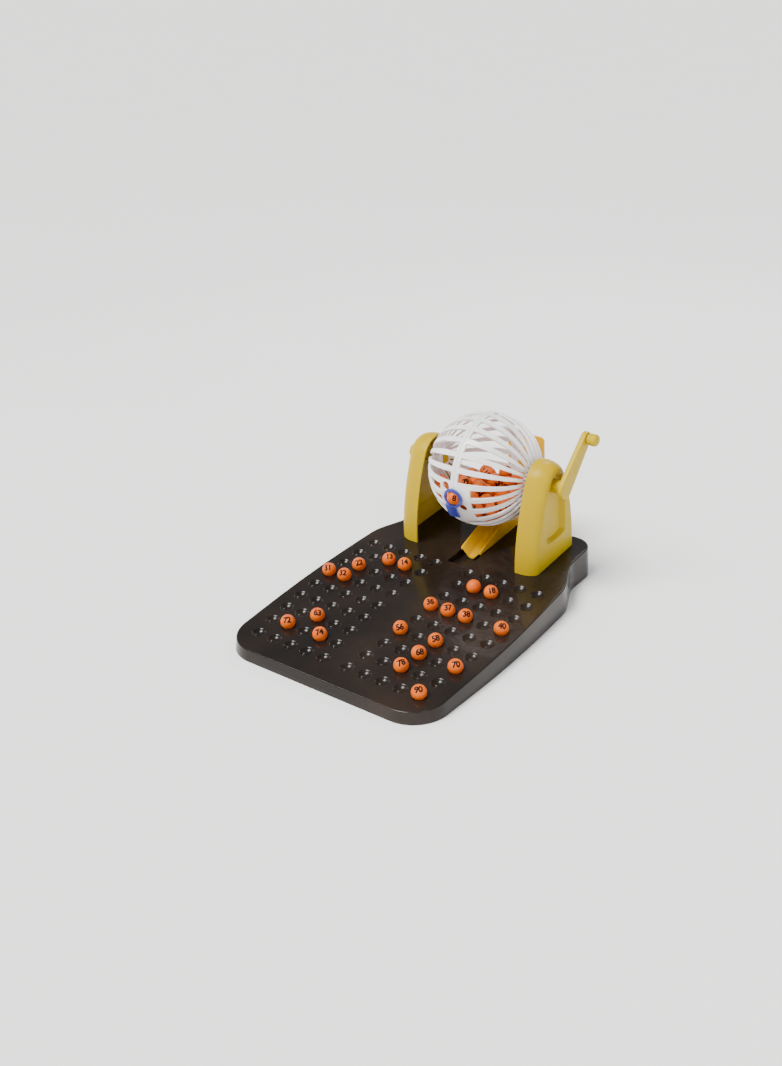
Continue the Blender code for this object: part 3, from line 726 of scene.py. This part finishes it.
def closed_foot(outline, sag):
    """An arch closed along its foot by a line that sags in the middle."""
    (front, foot_z), (rear, _) = outline[0], outline[-1]
    steps = 16
    foot = []
    for i in range(1, steps):
        share = 1 - i / steps
        foot.append((front + (rear - front) * share, foot_z - sag * 4 * share * (1 - share)))
    return outline + foot


def build_stand(name, side, node):
    """A shell with rounded shoulders and a sunken arched panel round the axle's bore."""
    corner_in = 10.0 * MM
    flat_depth = 6.0 * MM
    round_depth = STAND_DEPTH - flat_depth
    sag = 2.5 * MM
    bm = bmesh.new()

    def at(depth, outline):
        x = side * (STAND_INNER_X + depth)
        return [(x, CAGE_Y + y, GAP + z) for y, z in outline]

    shell = [at(0.0, outer_arch(0.0)), at(flat_depth, outer_arch(0.0))]
    for degrees in range(8, 86, 7):
        t = math.radians(degrees)
        shell.append(at(flat_depth + round_depth * math.sin(t), outer_arch(corner_in * (1 - math.cos(t)))))
    rings = loft(bm, shell, cap_start=False, cap_end=False, closed=False)
    rim = closed_foot(arch(*RECESS_RIM), sag)
    floor = closed_foot(arch(*RECESS_FLOOR), sag)
    face_loops = [at(STAND_DEPTH, closed_foot(outer_arch(corner_in), 0.0))]
    slope = ((-0.16, 0.0), (0.0, 0.03), (0.12, 0.11), (0.3, 0.3), (0.78, 0.84), (0.9, 0.95), (1.04, 1.0))
    for share, sunk in slope:
        panel = [(y + (v - y) * share, z + (w - z) * share) for (y, z), (v, w) in zip(rim, floor)]
        face_loops.append(at(STAND_DEPTH - sunk * RECESS_DEPTH, panel))
    angles = [math.atan2(z - CAGE_Z, y) for y, z in floor]
    bore_radius = JOURNAL_RADIUS + 0.4 * MM
    for radius in (bore_radius + 1.2 * MM, bore_radius):
        bore = [(radius * math.cos(a), CAGE_Z + radius * math.sin(a)) for a in angles]
        face_loops.append(at(STAND_DEPTH - RECESS_DEPTH, bore))
    face = loft(bm, face_loops, cap_start=False, cap_end=False)
    join_rings(bm, rings[-1], face[0], closed=False)
    bmesh.ops.recalc_face_normals(bm, faces=bm.faces)
    bm.normal_update()
    outer = max(bm.faces, key=lambda f: side * f.calc_center_median().x)
    inside_out = outer.normal.x * side < 0
    stand = add_object(name, bm, "yellow", DECK)
    if inside_out:
        stand.data.flip_normals()
    wall = stand.modifiers.new("wall", "SOLIDIFY")
    wall.thickness = STAND_WALL
    wall.offset = -1.0
    wall.use_even_offset = False
    wall.use_quality_normals = True
    apply_modifiers(stand)
    finish_edges(stand, 0.45 * MM, 40.0)
    settle(stand, "base", node)


# ---------------- chute

def chute_top(y):
    return CHUTE_FRONT_HEIGHT + CHUTE_SLOPE * (y - CHUTE_FRONT)


def chute_section(y, half_width, floor_half, skirt_z):
    """Cross-section of the V channel, with side walls that reach down to skirt_z."""
    top = chute_top(y)
    floor = top - CHUTE_DEPTH
    knee = floor + 0.8 * MM
    inner = half_width - CHUTE_WALL
    right = [(half_width, skirt_z), (half_width, top), (inner, top), (floor_half, knee)]
    under = [(floor_half, knee - CHUTE_WALL), (inner, top - CHUTE_WALL - 0.6 * MM), (inner, skirt_z)]
    points = right + [(0.0, floor)] + [(-x, z) for x, z in reversed(right)]
    points += [(-x, z) for x, z in reversed(under)] + [(0.0, floor - CHUTE_WALL)] + under
    return [(x, y, z) for x, z in points]


def build_chute():
    """A V channel falling to the front on side walls, with a scoop and a tall shield behind the cage."""
    floor_half = 3.0 * MM
    steps = 10
    sections = []
    for i in range(steps + 1):
        y = CHUTE_FRONT + (CHUTE_BACK - CHUTE_FRONT) * i / steps
        sections.append(chute_section(y, CHUTE_HALF_WIDTH, floor_half, GAP))
    scoop_start = CHUTE_BACK + 6.0 * MM
    scoop_end = SHIELD_Y - CHUTE_WALL / 2
    wall_height = 3.2 * MM
    scoop_half_width = SHIELD_HALF_WIDTH - 0.8 * MM
    for i in range(steps + 1):
        share = i / steps
        y = scoop_start + (scoop_end - scoop_start) * share
        half_width = CHUTE_HALF_WIDTH + (scoop_half_width - CHUTE_HALF_WIDTH) * share
        sections.append(chute_section(y, half_width, floor_half * (1 + share), chute_top(y) - wall_height))
    bm = bmesh.new()
    loft(bm, sections)
    chute = add_object("ball_ramp", bm, "chute", DECK)
    shield = bmesh.new()
    corner = 5.0 * MM
    outline = [(-SHIELD_HALF_WIDTH, SHIELD_FOOT), (SHIELD_HALF_WIDTH, SHIELD_FOOT)]
    outline += arc((SHIELD_HALF_WIDTH - corner, SHIELD_TOP - corner), corner, 0, 90, 10)
    outline += arc((corner - SHIELD_HALF_WIDTH, SHIELD_TOP - corner), corner, 90, 180, 10)
    loft(shield, [[(x, y, z) for x, z in outline] for y in (SHIELD_Y - CHUTE_WALL, SHIELD_Y)])
    combine(chute, [add_object("ramp_shield", shield, None, DECK)], "UNION")
    finish_edges(chute, 0.4 * MM, 20.0)
    settle(chute, "base", "ball_chute")


# ---------------- cage

def cage_point(side, polar, around, radius=CAGE_RADIUS):
    """A point of the cage: polar is its angle from the side's hub, around goes down from the front."""
    across = radius * math.sin(polar)
    return Vector((side * radius * math.cos(polar), -across * math.cos(around), -across * math.sin(around)))


def rib_half_angle(polar):
    """Half a rib's width, as an angle about the axle; ribs widen from the hub."""
    hub = math.asin(HUB_RADIUS / CAGE_RADIUS)
    share = (polar - hub) / (math.pi / 2 - hub)
    widening = 1.4
    width = RIB_WIDTH_AT_HUB + (RIB_WIDTH_AT_RING - RIB_WIDTH_AT_HUB) * min(share * widening, 1.0)
    return width / 2 / (CAGE_RADIUS * math.sin(polar))


def rib_columns(polar):
    """Angles about the axle: both edges and the middle of each rib, and the middle of each gap."""
    half = rib_half_angle(polar)
    step = 2 * math.pi / RIB_COUNT
    angles = []
    for rib in range(RIB_COUNT):
        middle = (rib + 0.5) * step
        angles += [middle - half, middle, middle + half, middle + step / 2]
    return angles


def exit_direction(angle):
    """From the cage's middle, at an angle below the front."""
    return Vector((0.0, -math.cos(angle), -math.sin(angle)))


def build_cage_half(name, side, node):
    """Half of the cage: ribs with open windows, the exit panel, the ring, the hub and its sleeve."""
    hub = math.asin(HUB_RADIUS / CAGE_RADIUS)
    ring = math.pi / 2 - RING_HALF_WIDTH / CAGE_RADIUS
    seam = math.pi / 2 - GAP / 2 / CAGE_RADIUS
    panel = math.radians(73.0)
    rib_steps = 12
    polars = [hub + (panel - hub) * i / rib_steps for i in range(rib_steps + 1)]
    polars += [(panel + ring) / 2, ring, (ring + seam) / 2, seam]
    bm = bmesh.new()
    rows = [[bm.verts.new(cage_point(side, p, a)) for a in rib_columns(p)] for p in polars]
    columns = 4 * RIB_COUNT
    panel_low, panel_high = math.radians(-12.0), math.radians(34.0)
    rounding = 1e-9
    for r, (near, far) in enumerate(zip(rows, rows[1:])):
        for i in range(columns):
            j = (i + 1) % columns
            is_rib = i % 4 < 2
            is_ring = polars[r] >= ring - rounding
            gap_angle = (i // 4 + 1) * 2 * math.pi / RIB_COUNT
            gap_angle = (gap_angle + math.pi) % (2 * math.pi) - math.pi
            in_panel = polars[r] >= panel - rounding and panel_low < gap_angle < panel_high
            if is_rib or is_ring or in_panel:
                bm.faces.new((near[i], near[j], far[j], far[i]))
    hole_half = SHANK_HALF_SIDE + GAP
    sleeve = 8.0 * MM
    boss = 0.9 * MM
    hub_x = side * CAGE_RADIUS * math.cos(hub)
    square, inner = [], []
    for a in rib_columns(hub):
        reach = hole_half / max(abs(math.cos(a)), abs(math.sin(a)))
        y, z = -reach * math.cos(a), -reach * math.sin(a)
        square.append(bm.verts.new((hub_x + side * boss, y, z)))
        inner.append(bm.verts.new((hub_x - side * sleeve, y, z)))
    join_rings(bm, inner, square)
    join_rings(bm, square, rows[0])
    loose = [v for v in bm.verts if not v.link_faces]
    bmesh.ops.delete(bm, geom=loose, context="VERTS")
    bmesh.ops.recalc_face_normals(bm, faces=bm.faces)
    bm.faces.ensure_lookup_table()
    if bm.faces[0].normal.dot(bm.faces[0].calc_center_median()) < 0:
        bmesh.ops.reverse_faces(bm, faces=bm.faces)
    bm.transform(SPIN)
    half = link_mesh(name, bm, ["white"])
    wall = half.modifiers.new("wall", "SOLIDIFY")
    wall.thickness = CAGE_WALL
    wall.offset = -1.0
    wall.use_even_offset = True

    def drill(tool_name, outward, radius, sides):
        depth = 9.0 * MM
        tool = cylinder(outward * (CAGE_RADIUS - depth), outward * (CAGE_RADIUS + depth), radius, sides)
        return add_object(tool_name, tool, None, SPIN)

    polar, around = WINDOW_PLACES[side]
    window = cage_point(side, math.radians(polar), math.radians(around), 1.0)
    tools = [
        drill(name + "_exit", exit_direction(EXIT_ANGLE), EXIT_HOLE_RADIUS, 48),
        drill(name + "_window", window, WINDOW_RADIUS, 32),
    ]
    combine(half, tools, "DIFFERENCE")
    finish_edges(half, 0.55 * MM, 40.0)
    settle(half, "cage", node)


def build_gate():
    """A flat ring round the exit, with a curved tail below it."""
    outward = exit_direction(EXIT_ANGLE)
    down = exit_direction(EXIT_ANGLE + math.pi / 2)
    across = Vector((1.0, 0.0, 0.0))
    low = CAGE_RADIUS + 0.5 * MM
    high = low + 2.2 * MM
    inner, outer = EXIT_HOLE_RADIUS, 10.9 * MM

    def ring(radius, height):
        return [outward * height + across * u + down * v for u, v in circle(radius, 64)]

    bm = bmesh.new()
    loops = [ring(inner, low), ring(outer, low), ring(outer, high), ring(inner, high)]
    rings = loft(bm, loops, cap_start=False, cap_end=False)
    join_rings(bm, rings[-1], rings[0])
    gate = add_object("exit_gate", bm, "blue", SPIN)
    left, right = across * (-11.0 * MM), across * (1.0 * MM)
    tail_start, tail_end = 9.3, 26.0
    steps = 12
    sections = []
    for i in range(steps + 1):
        degrees = tail_start + (tail_end - tail_start) * i / steps
        direction = exit_direction(EXIT_ANGLE + math.radians(degrees))
        under, over = direction * low, direction * high
        sections.append([under + left, under + right, over + right, over + left])
    tail = bmesh.new()
    loft(tail, sections)
    combine(gate, [add_object("gate_tail", tail, None, SPIN)], "UNION")
    finish_edges(gate, 0.4 * MM, 35.0, 3)
    settle(gate, "gate", "ball_gate")


# ---------------- crank and axle

def tapered_bar(start, end, start_radius, end_radius, x_low, x_high):
    """A flat bar with round ends of two sizes and softened edges, in the plane across the axle."""
    along = Vector((0.0, end[0] - start[0], end[1] - start[1]))
    lean = math.degrees(math.acos((start_radius - end_radius) / along.length))
    along.normalize()
    across = Vector((0.0, -along.z, along.y))
    steps = 24
    outline = []
    for middle, radius, first, last in (
        (Vector((0.0, *end)), end_radius, -lean, lean),
        (Vector((0.0, *start)), start_radius, lean, 360 - lean),
    ):
        outline += [(middle, along * y + across * z) for y, z in arc((0.0, 0.0), radius, first, last, steps)]
    edge = 1.2 * MM
    bm = bmesh.new()
    loops = []
    stations = (
        (x_low, 0.88), (x_low + 0.35 * edge, 0.95), (x_low + edge, 1.0),
        (x_high - edge, 1.0), (x_high - 0.35 * edge, 0.95), (x_high, 0.88),
    )
    for x, shrink in stations:
        loops.append([middle + reach * shrink + Vector((x, 0.0, 0.0)) for middle, reach in outline])
    loft(bm, loops)
    return bm


def crank_end():
    """Place (y, z) of the knob's peg from the axle."""
    return CRANK_LENGTH * math.sin(CRANK_LEAN), CRANK_LENGTH * math.cos(CRANK_LEAN)


def square_shank(x_low, x_high):
    """A square bar on the axle's line."""
    bm = bmesh.new()
    low = Vector((x_low, -SHANK_HALF_SIDE, -SHANK_HALF_SIDE))
    high = Vector((x_high, SHANK_HALF_SIDE, SHANK_HALF_SIDE))
    place = Matrix.Translation((low + high) / 2) @ Matrix.Diagonal((*(high - low), 1.0))
    bmesh.ops.create_cube(bm, size=1.0, matrix=place)
    return bm


def build_crank():
    """Arm, journal, square shank and the knob's peg, in one moulding."""
    y, z = crank_end()
    near = CRANK_X - CRANK_HALF_THICK
    far = CRANK_X + CRANK_HALF_THICK
    arm = tapered_bar((0.0, 0.0), (y, z), CRANK_BOSS_RADIUS, CRANK_TIP_RADIUS, near, far)
    crank = add_object("crank_arm", arm, "yellow", SPIN)
    chamfer = 0.6 * MM
    journal = turned([
        (JOURNAL_INNER_X, JOURNAL_RADIUS - chamfer), (JOURNAL_INNER_X + chamfer, JOURNAL_RADIUS),
        (CRANK_X, JOURNAL_RADIUS),
    ], 48)
    peg = cylinder((CRANK_X, y, z), (CRANK_X + PEG_LENGTH, y, z), PEG_RADIUS, 32)
    tools = [
        add_object("crank_journal", journal, None, SPIN),
        add_object("crank_shank", square_shank(SHANK_INNER_X, SHANK_OUTER_X), None, SPIN),
        add_object("crank_peg", peg, None, SPIN),
    ]
    combine(crank, tools, "UNION")
    finish_edges(crank, 0.5 * MM, 40.0)
    settle(crank, "cage", "crank_handle")


def build_knob():
    """A flared knob with a blind bore that turns on the arm's peg."""
    near, far, bore = CRANK_HALF_THICK + GAP, KNOB_FAR, PEG_RADIUS + 0.35 * MM
    profile = [(PEG_LENGTH + 0.8 * MM, bore), (near, bore), (near, 4.9 * MM), (near + 0.3 * MM, 5.5 * MM)]
    profile += [(near + 1.0 * MM, 5.95 * MM), (near + 2.2 * MM, 6.15 * MM), (far - 4.6 * MM, 6.4 * MM)]
    end_radius = 3.4 * MM
    flat_radius = 3.0 * MM
    for degrees in range(0, 91, 10):
        a = math.radians(degrees)
        profile.append((far - end_radius * (1 - math.sin(a)), flat_radius + end_radius * math.cos(a)))
    profile.append((far, 1.5 * MM))
    place = SPIN @ Matrix.Translation((CRANK_X, *crank_end()))
    knob = add_object("turning_knob", turned(profile, 48), "yellow", place)
    weight_normals(knob)
    settle(knob, "knob", "crank_knob")


def build_axle():
    """Cap, journal and square shank of the side without a crank."""
    face = -(STAND_INNER_X + STAND_DEPTH)
    journal_end = face + 14.0 * MM
    cap_start = face - 0.5 * MM
    cap_end = face - AXLE_CAP_LENGTH
    profile = [
        (journal_end, JOURNAL_RADIUS - 0.5 * MM), (journal_end - 0.5 * MM, JOURNAL_RADIUS),
        (cap_start, JOURNAL_RADIUS), (cap_start, AXLE_CAP_RADIUS - 0.4 * MM),
        (cap_start - 0.4 * MM, AXLE_CAP_RADIUS),
    ]
    dome_depth, dome_reach, flat_radius = 4.0 * MM, 5.0 * MM, 3.6 * MM
    for degrees in range(0, 91, 10):
        a = math.radians(degrees)
        profile.append((cap_end + dome_depth * (1 - math.sin(a)), flat_radius + dome_reach * math.cos(a)))
    axle = add_object("axle_cap", turned(profile, 56), "yellow", SPIN)
    shank = square_shank(journal_end - 2.0 * MM, -SHANK_INNER_X)
    combine(axle, [add_object("axle_shank", shank, None, SPIN)], "UNION")
    finish_edges(axle, 0.4 * MM, 45.0)
    settle(axle, "cage", "axle_left")


# ---------------- balls

def digit_mesh(number):
    """Flat number, cut into small faces, with its middle at the origin."""
    curve = bpy.data.curves.new("digits", "FONT")
    curve.body = str(number)
    curve.align_x = "CENTER"
    curve.align_y = "CENTER"
    curve.size = DIGIT_SIZE
    curve.space_character = 0.92
    curve.offset = DIGIT_THICKENING
    curve.resolution_u = 3
    holder = bpy.data.objects.new("digits", curve)
    bpy.context.scene.collection.objects.link(holder)
    depsgraph = bpy.context.evaluated_depsgraph_get()
    mesh = bpy.data.meshes.new_from_object(holder.evaluated_get(depsgraph))
    bpy.data.objects.remove(holder, do_unlink=True)
    bm = bmesh.new()
    bm.from_mesh(mesh)
    bpy.data.meshes.remove(mesh)
    cut_spacing = 0.7 * MM
    cuts_each_way = 8
    for axis in (Vector((1, 0, 0)), Vector((0, 1, 0))):
        for i in range(-cuts_each_way, cuts_each_way + 1):
            geometry = bm.verts[:] + bm.edges[:] + bm.faces[:]
            bmesh.ops.bisect_plane(bm, geom=geometry, plane_co=axis * cut_spacing * i, plane_no=axis)
    return bm


DIGITS = {}


def numbered_ball(bm, number, centre, facing, upright):
    """Adds a ball and its printed number, which faces one way with its top towards upright."""
    place = Matrix.Translation(centre)
    made = bmesh.ops.create_icosphere(bm, subdivisions=4, radius=BALL_RADIUS - INK_LIFT, matrix=place)
    for v in made["verts"]:
        for face in v.link_faces:
            face.smooth = True
    if number not in DIGITS:
        DIGITS[number] = digit_mesh(number)
    facing = facing.normalized()
    side = upright.cross(facing).normalized()
    top = facing.cross(side)
    copies = {}
    for v in DIGITS[number].verts:
        flat = side * v.co.x + top * v.co.y
        angle = flat.length / BALL_RADIUS
        around = flat.normalized() if flat.length else side
        way = facing * math.cos(angle) + around * math.sin(angle)
        copies[v.index] = bm.verts.new(centre + way * (BALL_RADIUS + INK_LIFT))
    for f in DIGITS[number].faces:
        face = bm.faces.new([copies[v.index] for v in f.verts])
        face.material_index = 1
        face.smooth = True
        face.normal_update()
        if face.normal.dot(facing) < 0:
            face.normal_flip()


def add_balls(name, bm, body, node):
    """Makes an object of numbered balls that stands for a CAD node."""
    settle(link_mesh(name, bm, ["orange", "ink"]), body, node)


def number_way(rng, lean):
    """A way for a number to face: up and to the front, with some spread, and its upright."""
    facing = Vector((0.44, -0.55, 0.71)) + Vector(rng.normal(0.0, lean, 3))
    spin = rng.normal(0.10, 0.20)
    upright = Matrix.Rotation(spin, 3, "Z") @ Vector((-0.50, 0.62, 0.60))
    return facing, upright


def build_tray_balls():
    """The balls in the tray, each an object that rides on its own body."""
    rng = np.random.default_rng(11)
    for number in TRAY_NUMBERS:
        facing, upright = number_way(rng, 0.10)
        if number == BLANK_BALL:
            facing, upright = Vector((-0.3, 0.9, -0.2)), Vector((0.0, 0.2, 1.0))
        bm = bmesh.new()
        numbered_ball(bm, number, box_centre(f"ball_{number}"), facing, upright)
        add_balls(f"tray_ball_{number}", bm, f"ball_{number}", f"ball_{number}")


def build_gate_ball():
    bm = bmesh.new()
    facing, upright = Vector((0.55, -0.75, 0.25)), Vector((0.1, 0.1, 1.0))
    numbered_ball(bm, GATE_BALL_NUMBER, box_centre("gate_ball"), facing, upright)
    add_balls("exit_ball", bm, "gate_ball", "gate_ball")


def pile_centres(count):
    """Rests balls in the round cage, clear of each other and of the circle the exit ball rides on."""
    rng = np.random.default_rng(5)
    room = CAGE_RADIUS - CAGE_WALL - BALL_RADIUS - 0.5 * MM
    ride_radius = (box_centre("gate_ball") - AXIS).length
    apart = 2 * BALL_RADIUS + 0.05 * MM
    start_spread = np.array([0.75, 0.75, 0.35])
    start_drop = 0.45
    push_share = 0.45
    first_fall = 0.35 * MM
    steps = 900
    at = rng.uniform(-1.0, 1.0, (count, 3)) * start_spread * room
    at[:, 2] -= start_drop * room
    for step in range(steps):
        at[:, 2] -= first_fall * (1 - step / steps) ** 2
        for _ in range(3):
            offset = at[:, None] - at[None]
            gap = np.linalg.norm(offset, axis=2) + np.eye(count)
            push = np.maximum(apart - gap, 0.0) * (1 - np.eye(count))
            at += (offset / gap[..., None] * push[..., None] * push_share).sum(1)
            ride = at * (0.0, 1.0, 1.0)
            ride *= ride_radius / np.linalg.norm(ride, axis=1)[:, None]
            from_ride = at - ride
            near = np.linalg.norm(from_ride, axis=1)
            at += from_ride / near[:, None] * np.maximum(apart + 0.1 * MM - near, 0.0)[:, None]
            reach = np.linalg.norm(at, axis=1)
            at *= np.minimum(1.0, room / reach)[:, None]
    return at + np.array(AXIS)


def build_pile():
    """The loose balls, with the numbers that are neither in the tray nor in the exit."""
    rest = [n for n in range(1, BALL_COUNT + 1) if n not in TRAY_NUMBERS and n != GATE_BALL_NUMBER]
    rng = np.random.default_rng(23)
    rng.shuffle(rest)
    bm = bmesh.new()
    for number, centre in zip(rest, pile_centres(len(rest))):
        facing = Vector(rng.normal(0.0, 1.0, 3)) * 0.8 + Vector((0.35, -0.6, 0.3))
        upright = Vector(rng.normal(0.0, 1.0, 3))
        numbered_ball(bm, number, Vector(centre), facing, upright)
    add_balls("loose_balls", bm, "pile", "ball_pile")


# ---------------- stage

def add_light(light, place, facing):
    """Puts a light in the scene with its back towards facing."""
    obj = bpy.data.objects.new(light.name, light)
    bpy.context.scene.collection.objects.link(obj)
    obj.location = place
    obj.rotation_mode = "QUATERNION"
    obj.rotation_quaternion = facing.to_track_quat("Z", "Y")


def add_area_light(name, place, size, power, colour=(1.0, 1.0, 1.0)):
    """A rectangular light that points at the middle of the object."""
    light = bpy.data.lights.new(name, "AREA")
    light.shape = "RECTANGLE"
    light.size, light.size_y = size
    light.energy = power
    light.color = colour
    add_light(light, place, Vector(place) - Vector((0.0, 0.05, 0.05)))


def add_floor():
    """A wide floor, a hair below the tray's foot."""
    bm = bmesh.new()
    bmesh.ops.create_grid(bm, x_segments=2, y_segments=2, size=60.0)
    floor = link_mesh("floor", bm, ["floor"])
    floor.location.z = -0.2 * MM


def add_sky():
    """A dim sky, bright only near the horizon."""
    world = bpy.data.worlds.new("studio")
    bpy.context.scene.world = world
    world.use_nodes = True
    tree = world.node_tree
    coords = tree.nodes.new("ShaderNodeTexCoord")
    split = tree.nodes.new("ShaderNodeSeparateXYZ")
    tree.links.new(coords.outputs["Generated"], split.inputs[0])
    sky = ramp(tree, split.outputs["Z"], [
        (0.0, (1.15, 1.15, 1.14)), (0.20, (1.15, 1.15, 1.15)),
        (0.38, (0.17, 0.17, 0.175)), (1.0, (0.36, 0.36, 0.37)),
    ])
    tree.links.new(sky, tree.nodes["Background"].inputs["Color"])
    set_inputs(tree.nodes["Background"], {"Strength": 1.5})


def add_stage():
    """A wide pale floor under one broad soft sun, three soft lights and the sky."""
    add_floor()
    add_sky()
    sun = bpy.data.lights.new("soft_sun", "SUN")
    sun.energy = 5.6
    sun.angle = math.radians(28.0)
    sun.color = (1.0, 0.985, 0.96)
    add_light(sun, (0.0, 0.0, 0.0), Vector((-0.35, -0.62, 1.25)))
    add_area_light("fill", (1.05, -0.65, 0.95), (0.22, 0.22), 4.0, (0.97, 0.98, 1.0))
    add_area_light("rim", (-0.25, 1.15, 1.05), (0.25, 0.22), 4.0)
    add_area_light("edge", (-0.90, -0.80, 1.15), (0.30, 0.30), 5.0)


add_camera()
build_tray()
build_stand("left_stand", -1, "stand_left")
build_stand("right_stand", 1, "stand_right")
build_chute()
build_cage_half("left_cage", -1, "cage_half_left")
build_cage_half("right_cage", 1, "cage_half_right")
build_gate()
build_crank()
build_knob()
build_axle()
build_tray_balls()
build_gate_ball()
build_pile()
add_stage()
